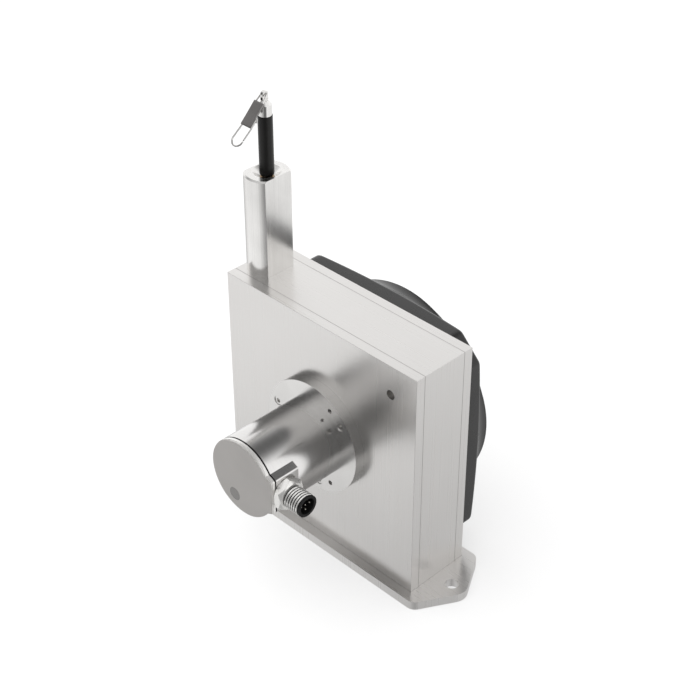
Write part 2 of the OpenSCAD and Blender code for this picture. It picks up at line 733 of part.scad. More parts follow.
module encoder_cap() color([0.74, 0.73, 0.72]) difference() {
    union() {
        slab(end_y + cap_r, cap_y) end_outline();
        slab(end_y + cap_r / 3, cap_y) end_outline(cap_r / 4);
        slab(end_y, cap_y) end_outline(cap_r * 0.75);
        rod_y(enc_bore - 2 * fit, cap_y - cut, body_y + cap_lip);
    }
    rod_y(led_d + 2 * fit, end_y - cut, body_y + cap_lip + cut, led_centre[0], led_centre[1]);
}

module led_window() color([0.48, 0.48, 0.47])
    rod_y(led_d, end_y + led_inset, body_y + 2 * cap_lip, led_centre[0], led_centre[1]);

module magnet_carrier() color([0.7, 0.6, 0.3]) difference() {
    rod_y(shaft_d + 2 * carrier_wall, carrier_y - magnet_t, carrier_y + 2 * carrier_grip);
    rod_y(shaft_d + 2 * fit, carrier_y + carrier_grip, carrier_y + 2 * carrier_grip + cut);
    rod_y(magnet_d + 2 * fit, carrier_y - magnet_t - cut, carrier_y);
}

module magnet() color([0.3, 0.3, 0.32]) rod_y(magnet_d, carrier_y - magnet_t, carrier_y);

chip_w = 8;
chip_t = 1.2;

module circuit_board() color([0.05, 0.3, 0.12]) {
    rod_y(enc_bore - 2 * fit, board_y - board_t, board_y);
    translate([axis_x - chip_w / 2, board_y - board_t - chip_t, axis_z - chip_w / 2])
        cube([chip_w, chip_t + board_t / 2, chip_w]);
}

// --- plug ----------------------------------------------------------------------------------------

plug_root = plug_d / 2 - 0.6 * plug_pitch;
plug_root_d = plug_d - 1;
seal_t = 0.4;
rim_step = 0.4;
pin_x = boss_x + 2;
pin_back = 3;
pin_dip = 1.8;
insert_wall = 0.7;

// The plug's own frame: its axis along +Z from the encoder's axis
module plug_frame() {
    translate([axis_x, plug_y, axis_z]) rotate([0, 90, 0]) children();
}

module plug_shell() color(steel) plug_frame() difference() {
    union() {
        translate([0, 0, enc_bore / 2 + gap]) cylinder(d = plug_root_d, h = boss_x - enc_bore / 2 + seal_t);
        translate([0, 0, boss_x + seal_t]) intersection() {
            cylinder(d = plug_hex / cos(30), h = plug_hex_len - seal_t, $fn = 6);
            cylinder(d1 = plug_hex + 1.6, d2 = plug_hex + 0.4, h = plug_hex_len - seal_t);
        }
        translate([0, 0, boss_x]) cylinder(r = plug_root, h = plug_end_x - plug_rim_t - boss_x);
        rotate_extrude() for (i = [0:plug_turns - 1]) translate([0, plug_thread_x + i * plug_pitch])
            polygon([[plug_root - 0.2, 0], [plug_root, 0], [plug_d / 2, plug_pitch * 0.42],
                [plug_d / 2, plug_pitch * 0.58], [plug_root, plug_pitch], [plug_root - 0.2, plug_pitch]]);
    }
    cylinder(d = plug_bore, h = 2 * plug_end_x);
}

module plug_seal() color(black) plug_frame() translate([0, 0, boss_x]) difference() {
    cylinder(d = plug_d, h = seal_t);
    translate([0, 0, -cut]) cylinder(d = plug_root_d + 2 * fit, h = seal_t + 2 * cut);
}

insert_floor_x = plug_end_x - pin_len - 1;
pin_tip_x = plug_end_x - pin_dip;
code_w = 1.2;
code_h = 0.95;

module pin_places() {
    children();
    for (a = [0:90:270]) rotate([0, 0, a]) translate([pin_pcd / 2, 0, 0]) children();
}

module plug_insert() color(black) plug_frame() difference() {
    union() {
        translate([0, 0, pin_x]) cylinder(d = plug_bore - 2 * fit, h = plug_end_x - pin_x);
        translate([0, 0, plug_end_x - plug_rim_t]) cylinder(d = plug_d - rim_step, h = plug_rim_t);
    }
    translate([0, 0, insert_floor_x]) cylinder(d = plug_bore - 2 * insert_wall, h = plug_end_x);
    pin_places() cylinder(d = pin_d + 2 * fit, h = plug_end_x, $fn = 24);
    rotate([0, 0, 45]) translate([-code_w / 2, plug_bore / 2 - insert_wall - code_h + 0.05, insert_floor_x])
        cube([code_w, code_h, plug_end_x]);
}

module plug_pins() color([0.85, 0.68, 0.32]) plug_frame() pin_places() {
    translate([0, 0, pin_x - pin_back]) cylinder(d = pin_d, h = pin_tip_x - pin_x + pin_back, $fn = 24);
    translate([0, 0, pin_tip_x]) sphere(d = pin_d, $fn = 24);
}

// --- rear cover and spring -----------------------------------------------------------------------

ear_side = (ear_reach - ear_half) / sqrt(2);
cover_head_h = cover_screw_d - 0.5;
cover_screw_len = cover_flange - cover_screw_d + plate_t - blind;

module cover_places() {
    for (q = quarters)
        translate([axis_x + q[0] * cover_pcd / sqrt(8), rear_y, axis_z + q[1] * cover_pcd / sqrt(8)])
            rotate([-90, 0, 0]) children();
}

// The flange's outline: a square with cut-off corners, hollow between the ears
module cover_outline() {
    e = cover_half;
    s = ear_side;
    bend = (s * s + side_hollow * side_hollow) / (2 * side_hollow);
    translate([axis_x, axis_z]) difference() {
        polygon(rounded([[e, s], [s, e], [-s, e], [-e, s], [-e, -s], [-s, -e], [s, -e], [e, -s]],
            [for (i = [0:7]) ear_r], 5));
        for (a = [0:90:270]) rotate(a) translate([cover_half - side_hollow + bend, 0]) circle(r = bend, $fn = 720);
    }
}

module rear_cover() color(black) difference() {
    union() {
        slab(rear_y, rear_y + cover_flange) cover_outline();
        turned_y() {
            translate([0, rear_y]) square([chamber_r, cover_depth - chamber_edge]);
            translate([0, rear_y]) square([chamber_r - chamber_edge, cover_depth]);
            translate([chamber_r - chamber_edge, rear_y + cover_depth - chamber_edge]) circle(r = chamber_edge);
        }
        intersection() {
            slab(rear_y + cut, rear_y + cover_flange + cover_fillet) cover_outline();
            turned_y() translate([0, rear_y + cover_flange]) difference() {
                translate([0, -cut]) square([chamber_r + cover_fillet, cover_fillet + cut]);
                translate([chamber_r + cover_fillet, cover_fillet]) circle(r = cover_fillet);
            }
        }
    }
    rod_y(2 * chamber_in, rear_y - cut, rear_y + cover_depth - cover_wall);
    cover_places() {
        translate([0, 0, -cut]) cylinder(d = cover_screw_d + 2 * fit, h = cover_depth);
        translate([0, 0, cover_flange - cover_screw_d]) cylinder(d = 2 * cover_screw_d, h = cover_depth);
    }
}

module cover_screws() color([0.25, 0.25, 0.26])
    cover_places() translate([0, 0, cover_flange - cover_screw_d])
        socket_screw(cover_screw_d, cover_screw_d * 1.75, cover_head_h, cover_screw_len);

arbor_pin_d = 3;
pin_y = rear_y + 8;

module spring_arbor() color(steel) difference() {
    rod_y(arbor_d, rear_y + gap, arbor_end);
    rod_y(shaft_d + 2 * fit, rear_y - cut, shaft_end);
    translate([axis_x, pin_y, axis_z]) cylinder(d = arbor_pin_d + 2 * fit, h = arbor_d + cut, center = true);
}

module arbor_pin() color(steel)
    translate([axis_x, pin_y, axis_z]) cylinder(d = arbor_pin_d, h = arbor_d - 1, center = true);

spring_in = arbor_d / 2 + gap + strip_t / 2;
spring_out = chamber_in - gap - strip_t / 2;
spring_steps = 20 * spring_turns;

// A point of a flat spiral, whose radius grows evenly with the angle
function spiral(i, side) = let (a = i * 360 * spring_turns / spring_steps)
    (spring_in + (spring_out - spring_in) * i / spring_steps + side * strip_t / 2) * [cos(a), sin(a)];

module power_spring() color([0.35, 0.40, 0.48])
    slab(spring_y, spring_y + strip_w) translate([axis_x, axis_z]) polygon(concat(
        [for (i = [0:spring_steps]) spiral(i, 1)], [for (i = [spring_steps:-1:0]) spiral(i, -1)]));

base_plate();
base_screws();
middle_frame();
front_plate();
rear_plate();
housing_screws();
outlet_tube();
guide_bush();
wire_wiper();
front_bearing();
rear_bearing();
wire_drum();
drum_key();
drum_shaft();
retaining_ring();
wound_wire();
draw_wire();
bumper();
swivel_barrel();
swivel_eye();
snap_wire();
snap_sleeve();
snap_gate();
encoder_flange();
flange_screws();
clamp_screws();
encoder_body();
encoder_gasket();
encoder_cap();
led_window();
magnet_carrier();
magnet();
circuit_board();
plug_shell();
plug_seal();
plug_insert();
plug_pins();
rear_cover();
cover_screws();
spring_arbor();
arbor_pin();
power_spring();
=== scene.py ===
import json
import math

import bmesh
import bpy
import numpy as np
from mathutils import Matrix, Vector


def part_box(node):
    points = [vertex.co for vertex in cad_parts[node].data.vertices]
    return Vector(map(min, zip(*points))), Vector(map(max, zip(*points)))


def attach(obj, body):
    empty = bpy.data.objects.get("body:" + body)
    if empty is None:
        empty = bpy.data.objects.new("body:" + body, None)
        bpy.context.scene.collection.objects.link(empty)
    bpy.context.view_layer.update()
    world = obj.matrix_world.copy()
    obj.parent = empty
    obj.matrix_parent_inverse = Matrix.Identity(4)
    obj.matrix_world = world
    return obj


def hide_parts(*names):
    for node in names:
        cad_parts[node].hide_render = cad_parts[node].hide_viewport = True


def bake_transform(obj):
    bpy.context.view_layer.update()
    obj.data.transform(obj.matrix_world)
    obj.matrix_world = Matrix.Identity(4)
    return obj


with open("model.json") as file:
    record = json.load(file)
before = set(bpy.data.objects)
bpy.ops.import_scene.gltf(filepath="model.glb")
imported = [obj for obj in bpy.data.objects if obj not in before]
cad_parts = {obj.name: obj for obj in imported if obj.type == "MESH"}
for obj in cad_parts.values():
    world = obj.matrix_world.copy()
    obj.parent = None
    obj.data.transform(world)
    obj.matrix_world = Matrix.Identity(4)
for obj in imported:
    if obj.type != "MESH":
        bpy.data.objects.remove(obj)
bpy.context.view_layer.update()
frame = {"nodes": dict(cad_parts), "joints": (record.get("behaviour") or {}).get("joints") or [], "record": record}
record = frame["record"]
joints = {joint["name"]: joint for joint in frame["joints"]}
print("frame loaded with", len(frame["nodes"]), "nodes")

cameraView = {
    "place": (0.4575, -0.4532, 0.5685),
    "azimuth": 45.09,      # degrees from the front, -Y, round to the right
    "elevation": 35.37,    # degrees above the horizon
    "lens": 82.5,
    "sensor": 36.0,
    "near": 0.01,
    "far": 60,
}

cameraData = bpy.data.cameras.new("camera")
cameraData.lens = cameraView["lens"]
cameraData.sensor_width = cameraView["sensor"]
cameraData.clip_start = cameraView["near"]
cameraData.clip_end = cameraView["far"]
camera = bpy.data.objects.new("camera", cameraData)
camera.location = cameraView["place"]
camera.rotation_euler = (
    math.radians(90 - cameraView["elevation"]), 0, math.radians(cameraView["azimuth"]))
bpy.context.scene.collection.objects.link(camera)
bpy.context.scene.camera = camera
print("camera placed")


class Signal:
    # a socket that gives out a number; sums, products and powers of signals add Math nodes
    def __init__(self, graph, socket):
        self.graph = graph
        self.socket = socket

    def math(self, operation, first, second=None):
        inputs = {0: first} if second is None else {0: first, 1: second}
        return self.graph.add("ShaderNodeMath", {"operation": operation}, inputs)

    def __add__(self, other):
        return self.math("ADD", self, other)

    __radd__ = __add__

    def __mul__(self, other):
        return self.math("MULTIPLY", self, other)

    __rmul__ = __mul__

    def __sub__(self, other):
        return self.math("SUBTRACT", self, other)

    def __rsub__(self, other):
        return self.math("SUBTRACT", other, self)

    def __pow__(self, other):
        return self.math("POWER", self, other)

    def __abs__(self):
        return self.math("ABSOLUTE", self)

    # 0 below low, 1 above high and a smooth step between them
    def step(self, low, high):
        return self.graph.add("ShaderNodeMapRange", {"interpolation_type": "SMOOTHSTEP"},
                              {"Value": self, "From Min": low, "From Max": high})


class Graph:
    # the node tree of a material or of the world
    def __init__(self, owner):
        owner.use_nodes = True
        self.tree = owner.node_tree
        self.tree.nodes.clear()

    def add(self, kind, settings=None, inputs=None, out=0):
        node = self.tree.nodes.new(kind)
        for key, value in (settings or {}).items():
            if key == "stops":
                ramp = node.color_ramp.elements
                while len(ramp) < len(value):
                    ramp.new(0.5)
                for element, (place, colour) in zip(ramp, value):
                    element.position = place
                    element.color = (*colour, 1)
            else:
                setattr(node, key, value)
        for key, value in (inputs or {}).items():
            if isinstance(value, Signal):
                self.tree.links.new(value.socket, node.inputs[key])
            else:
                node.inputs[key].default_value = value
        return Signal(self, node.outputs[out]) if len(node.outputs) else None

    # noise on the piece's own coordinates, stretched by the three scales, in features per metre
    def noise(self, scales, detail=2.0, shift=(0, 0, 0)):
        place = self.add("ShaderNodeTexCoord", out="Object")
        moved = self.add("ShaderNodeMapping", {}, {"Vector": place, "Scale": scales, "Location": shift})
        return self.add("ShaderNodeTexNoise", {}, {"Vector": moved, "Scale": 1.0, "Detail": detail})

    # one coordinate of the surface point (Object) or of its outward direction (Normal)
    def axis(self, which, source="Object"):
        place = self.add("ShaderNodeTexCoord", out=source)
        return self.add("ShaderNodeSeparateXYZ", {}, {0: place}, out=which)

    # one colour where the mask is 0 and the other where it is 1
    def tint(self, mask, first, second):
        return self.mix(mask, (*first, 1), second)

    # the same with a colour that is already a signal, or has its alpha, where the mask is 0
    def mix(self, mask, first, second):
        inputs = {0: mask, 6: first, 7: (*second, 1)}
        return self.add("ShaderNodeMix", {"data_type": "RGBA"}, inputs, out=2)

    def bump(self, height, strength, distance):
        return self.add("ShaderNodeBump", {}, {
            "Height": height, "Strength": strength, "Distance": distance})


# a material from a function that gives the sockets of its Principled shader
def finish(name, sockets):
    material = bpy.data.materials.new(name)
    graph = Graph(material)
    shader = graph.add("ShaderNodeBsdfPrincipled", {}, sockets(graph))
    graph.add("ShaderNodeOutputMaterial", {}, {"Surface": shader})
    return material


# the lower and the upper corner of a node's box
def boxOf(node):
    low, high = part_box(node)
    return np.array(low), np.array(high)


plateLook = {
    "light": (0.815, 0.800, 0.785),
    "dark": (0.770, 0.755, 0.738),
    "joint": (0.52, 0.505, 0.49),
    "jointWidth": 0.00022,
    "roughness": 0.28,
    "roughnessSpread": 0.05,
    "wide": 1000.0,        # broad brush lines for each metre across them
    "fine": 4200.0,        # fine brush lines for each metre
    "along": 9.0,          # breaks in a line for each metre along it
    "bump": 0.16,
    "depth": 0.00002,
}


# brushed metal: two layers of noise, squeezed across the brush lines and stretched along them; the
# lines run along Z on upright faces and along X on level ones. A joint is dark where the distance
# to its plane is less than its width, except on the faces that lie in that plane
def brushedMetal(look, jointsY=(), jointZ=None):
    def sockets(graph):
        level = abs(graph.axis("Z", "Normal")).step(0.6, 0.8)
        layers = []
        for count in (look["wide"], look["fine"]):
            upright = graph.noise((count, count, look["along"]))
            flat = graph.noise((look["along"], count, count), shift=(3, 1, 2))
            layers.append(upright * (1 - level) + flat * level)
        lines = layers[0] * 0.5 + layers[1] * 0.5
        clouds = graph.noise((18, 18, 18), 3.0)
        tone = graph.tint((lines * 0.6 + clouds * 0.4).step(0.3, 0.7), look["dark"], look["light"])
        width = look["jointWidth"]
        if len(jointsY):
            placeY = graph.axis("Y")
            gaps = 0
            for joint in jointsY:
                gaps = gaps + (1 - abs(placeY - float(joint)).step(width * 0.6, width))
            gaps = gaps * (1 - abs(graph.axis("Y", "Normal")).step(0.85, 0.95))
            tone = graph.mix(gaps, tone, look["joint"])
        if jointZ is not None:
            rise = graph.axis("Z") - float(jointZ)
            gap = rise.step(0.00001, 0.00003) * (1 - rise.step(width * 0.8, width * 1.2))
            tone = graph.mix(gap, tone, look["joint"])
        return {
            "Base Color": tone,
            "Metallic": 1.0,
            "Roughness": (lines - 0.5) * look["roughnessSpread"] + look["roughness"],
            "Normal": graph.bump(lines, look["bump"], look["depth"]),
        }
    return sockets


turnedLook = {
    "dark": (0.76, 0.75, 0.735),
    "light": (0.84, 0.83, 0.815),
    "roughness": 0.20,
    "roughnessSpread": 0.06,
    "rings": 2600.0,
    "round": 25.0,
    "bump": 0.15,
    "depth": 0.00002,
}


# turned metal: rings round the Y axis as noise that changes fast along Y and slowly across it
def turnedMetal(look, scales=None):
    def sockets(graph):
        rings = graph.noise(scales or (look["round"], look["rings"], look["round"]))
        clouds = graph.noise((60, 60, 60), 3.0, (5, 5, 5))
        return {
            "Base Color": graph.tint(
                (rings * 0.5 + clouds * 0.5).step(0.3, 0.7), look["dark"], look["light"]),
            "Metallic": 1.0,
            "Roughness": (rings - 0.5) * look["roughnessSpread"] + look["roughness"],
            "Normal": graph.bump(rings, look["bump"], look["depth"]),
        }
    return sockets


bodyLook = {
    **turnedLook,
    "dark": (0.72, 0.71, 0.70),
    "light": (0.78, 0.77, 0.76),
    "roughness": 0.16,
    "bump": 0.05,
    "shadow": (0.05, 0.05, 0.05),
    "shadowWidth": 0.00032,   # of the painted shadow line along the gasket
}


# the encoder's round body: fine turned rings, and a painted shadow line where it meets the gasket
def turnedBody(look, gasket):
    plain = turnedMetal(look)
    width = look["shadowWidth"]

    def sockets(graph):
        values = plain(graph)
        # painted shadow: the body darkens within this width of the gasket
        line = 1 - (graph.axis("Y") - float(gasket)).step(width * 0.6, width)
        values["Base Color"] = graph.mix(line, values["Base Color"], look["shadow"])
        return values
    return sockets


# plating on a thread with painted shade in its roots: dark at the root, by the distance from the thread's line,
# and bright at the crest; before the thread starts it is bright all over
def platingWithRootShade(look, centre, root, start):
    def sockets(graph):
        sideways = graph.axis("Y") - float(centre[1])
        upwards = graph.axis("Z") - float(centre[2])
        radius = (sideways ** 2 + upwards ** 2) ** 0.5
        onThread = graph.axis("X").step(start - look["onset"], start)
        # painted shade: the plating darkens towards the thread's root
        groove = (1 - radius.step(root + look["darkTo"], root + look["brightFrom"])) * onThread
        grain = graph.noise((look["grain"], look["grain"], look["grain"]))
        return {
            "Base Color": graph.tint(groove, look["crest"], look["groove"]),
            "Metallic": look["metal"],
            "Roughness": look["roughness"],
            "Normal": graph.bump(grain, look["bump"], look["depth"]),
        }
    return sockets


# blasted or cast metal: an even grain without a direction
def grainyMetal(dark, light, roughness, grain=2500.0, bump=0.2):
    def sockets(graph):
        speck = graph.noise((grain, grain, grain))
        clouds = graph.noise((70, 70, 70), 3.0, (2, 7, 1))
        return {
            "Base Color": graph.tint((speck * 0.4 + clouds * 0.6).step(0.3, 0.7), dark, light),
            "Metallic": 1.0,
            "Roughness": (clouds - 0.5) * 0.12 + roughness,
            "Normal": graph.bump(speck, bump, 0.00003),
        }
    return sockets


capLook = {
    "face": (0.570, 0.552, 0.535),
    "faceRoughness": 0.42,
    "rim": (0.93, 0.92, 0.90),
    "rimMetal": 0.75,      # the rim scatters light all round
    "rimRoughness": 0.45,
    "grain": 3000.0,
}


# blasted face with a bright machined rim: the rim is wherever the surface doesn't look along -Y
def cappedMetal(look):
    def sockets(graph):
        rim = (graph.axis("Y", "Normal") * -1).step(0.97, 0.90)
        speck = graph.noise((look["grain"], look["grain"], look["grain"]))
        clouds = graph.noise((50, 50, 50), 3.0)
        shade = (speck * 0.4 + clouds * 0.6).step(0.3, 0.7)
        dark = tuple(0.95 * part for part in look["face"])
        light = tuple(1.03 * part for part in look["face"])
        face = graph.tint(shade, dark, light)
        return {
            "Base Color": graph.mix(rim, face, look["rim"]),
            "Metallic": 1 - rim * (1 - look["rimMetal"]),
            "Roughness": rim * (look["rimRoughness"] - look["faceRoughness"])
            + look["faceRoughness"],
            "Normal": graph.bump(speck, 0.15, 0.00003),
        }
    return sockets


# plastic, paint or rubber: a fine grain, faint clouds and a gloss that wanders a little
def mouldedPlastic(dark, light, roughness, grain=1500.0, bump=0.15, shine=0.5):
    def sockets(graph):
        speck = graph.noise((grain, grain, grain))
        clouds = graph.noise((45, 45, 45), 3.0, (1, 4, 9))
        return {
            "Base Color": graph.tint((speck * 0.3 + clouds * 0.7).step(0.3, 0.7), dark, light),
            "Roughness": (clouds - 0.5) * 0.10 + roughness,
            "Normal": graph.bump(speck, bump, 0.00005),
            "IOR": 1.5,
            "Specular IOR Level": shine,
        }
    return sockets


# felt: soft fibres as two crossed layers of stretched noise
def feltFibres(graph):
    fibres = graph.noise((5000, 900, 900)) * 0.5 + graph.noise((900, 5000, 900)) * 0.5
    return {
        "Base Color": graph.tint(fibres.step(0.35, 0.65), (0.55, 0.52, 0.45), (0.80, 0.77, 0.70)),
        "Roughness": 0.95,
        "Normal": graph.bump(fibres, 0.6, 0.0002),
    }


# hairlines between the plates: at both faces of the middle frame, and on the base plate's top
frameLow, frameHigh = boxOf("middle_frame")
plateJoints = (frameLow[1], frameHigh[1])
baseTop = boxOf("base_plate")[1][2]

materials = {
    "plate": finish("brushed_aluminium", brushedMetal(plateLook)),
    "turned": finish("turned_metal", turnedMetal({**turnedLook, "roughness": 0.22})),
    "steel": finish("ground_steel", turnedMetal({**turnedLook, "roughness": 0.22})),
    "chrome": finish("bright_plating", turnedMetal(
        {**turnedLook, "roughness": 0.14, "roughnessSpread": 0.04, "bump": 0.08}, (40, 40, 2500))),
    "screw": finish("screw_steel", grainyMetal((0.36, 0.35, 0.34), (0.50, 0.49, 0.48), 0.3)),
    "cover": finish("black_casting", mouldedPlastic(
        (0.012, 0.012, 0.012), (0.019, 0.018, 0.018), 0.27, shine=0.4)),
    "rubber": finish("black_rubber", mouldedPlastic(
        (0.004, 0.0036, 0.0035), (0.008, 0.0075, 0.007), 0.34, shine=0.3)),
    "felt": finish("felt", feltFibres),
    "bronze": finish("sintered_bronze", grainyMetal((0.42, 0.30, 0.18), (0.60, 0.44, 0.28), 0.45)),
    "sheet": finish("sleeve_sheet", grainyMetal((0.24, 0.23, 0.225), (0.29, 0.28, 0.275), 0.38)),
    "window": finish("grey_window", mouldedPlastic((0.155, 0.150, 0.145), (0.19, 0.185, 0.18), 0.45)),
    "insert": finish("black_insert", mouldedPlastic(
        (0.006, 0.006, 0.006), (0.011, 0.011, 0.011), 0.5, shine=0.15)),
    "gold": finish("pin_plating", grainyMetal((0.42, 0.40, 0.36), (0.55, 0.52, 0.47), 0.3)),
    "board": finish("circuit_board", mouldedPlastic((0.01, 0.09, 0.03), (0.02, 0.16, 0.06), 0.4)),
    "spring": finish("spring_steel", turnedMetal(
        {**turnedLook, "dark": (0.30, 0.34, 0.42), "light": (0.42, 0.46, 0.54)})),
    "magnet": finish("magnet", grainyMetal((0.30, 0.30, 0.31), (0.42, 0.42, 0.43), 0.3)),
}
joined = finish("joined_aluminium", brushedMetal(plateLook, plateJoints, baseTop))
own = {
    "front_plate": joined,
    "middle_frame": joined,
    "rear_plate": joined,
    "encoder_cap": finish("satin_cap", cappedMetal(capLook)),
    "encoder_body": finish("polished_body", turnedBody(bodyLook, boxOf("encoder_gasket")[1][1])),
    "outlet_tube": finish("satin_tube", turnedMetal(
        {**turnedLook, "light": (0.88, 0.87, 0.855), "roughness": 0.22, "bump": 0.1}, (1800, 1800, 12))),
}

slotOf = {part["node"]: part["material_slot"] for part in record["subparts"]}
for name, part in frame["nodes"].items():
    for slot in part.material_slots:
        slot.material = own.get(name, materials[slotOf[name]])
print("finishes on the nodes")


# a mesh from a grid of points, rows by columns by 3, with one face for each cell; closedRows joins
# the last row to the first one, and closedColumns the last column
def gridPiece(name, points, material, body=None, closedRows=False, closedColumns=False):
    rows, columns = points.shape[:2]
    index = np.arange(rows * columns).reshape(rows, columns)
    if closedRows:
        index = np.vstack([index, index[:1]])
    if closedColumns:
        index = np.hstack([index, index[:, :1]])
    corners = np.stack([index[:-1, :-1], index[1:, :-1], index[1:, 1:], index[:-1, 1:]], -1)
    corners = corners.reshape(-1, 4)
    mesh = bpy.data.meshes.new(name)
    mesh.from_pydata(points.reshape(-1, 3).tolist(), [], corners.tolist())
    mesh.polygons.foreach_set("use_smooth", np.ones(len(corners), bool))
    mesh.materials.append(material)
    mesh.update()
    piece = bpy.data.objects.new(name, mesh)
    bpy.context.scene.collection.objects.link(piece)
    if body:
        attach(piece, body)
    return piece


# the snap's own directions: across is X, out is the gate's hinge axis, down runs along the snap
across = np.array([1.0, 0.0, 0.0])
out = np.array(joints["snap_gate_open"]["axis"], float)
out /= np.linalg.norm(out)
down = -np.cross(across, out)

sleeveShape = {
    "thickness": 0.0016,
    "wall": 0.00030,
    "corner": 0.00060,     # radius of the folded edges
    "waist": 0.00008,      # how far the middle is pressed in
    "rows": 48,
    "columns": 96,
}


# a sleeve folded from sheet: a rectangle with round corners is carried along the snap; the wall
# goes down on the outside and comes back on the inside, with a half round rim at each end, and
# a squared cosine presses the middle in
def snapSleeve():
    s = sleeveShape
    low, high = boxOf("snap_sleeve")
    middle = (low + high) / 2
    size = high - low
    width, thickness = size[0], s["thickness"]
    length = (size[2] - thickness * abs(out[2])) / abs(down[2])
    rim = s["wall"] / 2
    straight = np.linspace(-1, 1, s["rows"] // 2) * (length / 2 - rim)
    bend = np.linspace(0, np.pi, 7)[1:-1]
    along = np.concatenate([straight, straight[-1] + rim * np.sin(bend),
                            straight[::-1], straight[0] - rim * np.sin(bend)])
    inset = np.concatenate([0 * straight, rim - rim * np.cos(bend),
                            0 * straight + s["wall"], rim + rim * np.cos(bend)])
    angle = np.linspace(0, 2 * np.pi, s["columns"], endpoint=False) + np.pi / s["columns"]
    radius = (s["corner"] - inset)[:, None]
    u = np.sign(np.cos(angle)) * (width / 2 - s["corner"]) + np.cos(angle) * radius
    v = np.sign(np.sin(angle)) * (thickness / 2 - s["corner"]) + np.sin(angle) * radius
    press = s["waist"] * np.cos(along / length * np.pi)[:, None] ** 2
    v = v - np.sign(v) * press
    points = middle + u[..., None] * across + v[..., None] * out + along[:, None, None] * down
    piece = gridPiece("snap_sleeve_sheet", points, materials["sheet"], "snap", True, True)
    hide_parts("snap_sleeve")


snapSleeve()

ropeShape = {
    "strands": 6,
    "lay": 0.0065,         # length of one turn of the strands
    "step": 0.0005,
    "columns": 36,
    "groove": 0.16,        # depth of the grooves as a share of the radius
}


# a wire rope: a circle whose radius rises and falls with a cosine, once for each strand, is
# carried up the wire while it turns
def drawRope():
    s = ropeShape
    low, high = boxOf("draw_wire")
    centre = (low + high) / 2
    radius = (high[0] - low[0]) / 2
    z = np.arange(low[2], high[2], s["step"])
    angle = np.linspace(0, 2 * np.pi, s["columns"], endpoint=False)
    zz, aa = np.meshgrid(z, angle, indexing="ij")
    wave = np.abs(np.cos(s["strands"] / 2 * (aa - 2 * np.pi * zz / s["lay"])))
    r = radius * (1 - s["groove"] + s["groove"] * wave)
    points = np.stack([centre[0] + r * np.cos(aa), centre[1] + r * np.sin(aa), zz], -1)
    axis = [centre[0], centre[1], 0]
    points = np.concatenate([points[:1] * [0, 0, 1] + axis, points, points[-1:] * [0, 0, 1] + axis])
    piece = gridPiece("draw_wire_rope", points, materials["steel"], None, False, True)
    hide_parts("draw_wire")
    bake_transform(piece)


drawRope()

# a ring of points round a line along X or Y for each profile row: reach is the distance from the
# line and place the coordinate along it; angles start at -Y round +Z for X, and at +X round +Z for Y
def carried(line, centre, reach, place, angle):
    reach, place = np.broadcast_arrays(reach, np.broadcast_to(place, np.shape(reach)))
    aside = reach * np.cos(angle)
    above = centre[2] + reach * np.sin(angle)
    if line == "x":
        return np.stack([place, centre[1] - aside, above], -1)
    return np.stack([centre[0] + aside, place, above], -1)


plugShape = {
    "hexagon": 0.0152,     # across the flats
    "hexagonLength": 0.0050,
    "backChamfer": 0.0014,
    "frontChamfer": 0.0018,
    "backSlope": 1.2,      # rise of the chamfers for each unit of length
    "frontSlope": 1.0,
    "neck": 0.0002,
    "thread": 0.0120,      # outer diameter
    "root": 0.00075,       # depth of the thread
    "pitch": 0.0015,       # wider than the real 1 mm, so that the turns can be told apart
    "crown": 1.35,         # above 1 the crests are flat
    "runIn": 0.0006,       # length over which the thread rises at its start
    "runOut": 0.0003,      # and falls at its end
    "bore": 0.00098,       # the inner wall's depth under the crest
    "spigot": 0.0005,      # the rear end's depth under the crest
    "clear": 0.00002,      # kept from the seal
    "columns": 144,
    "hexagonRows": 41,
    "step": 0.00008,
    "sharp": 25,           # degrees between faces that still shade as one
}

platingLook = {
    # groove is painted shade in the thread's roots; crest is the plating's own colour
    "groove": (0.03, 0.03, 0.03),
    "crest": (0.86, 0.85, 0.83),
    "darkTo": 0.00025,     # height over the root where the painted shade ends
    "brightFrom": 0.00062,
    "onset": 0.0004,
    "metal": 0.7,
    "roughness": 0.22,
    "grain": 40,
    "bump": 0.05,
    "depth": 0.00002,
}


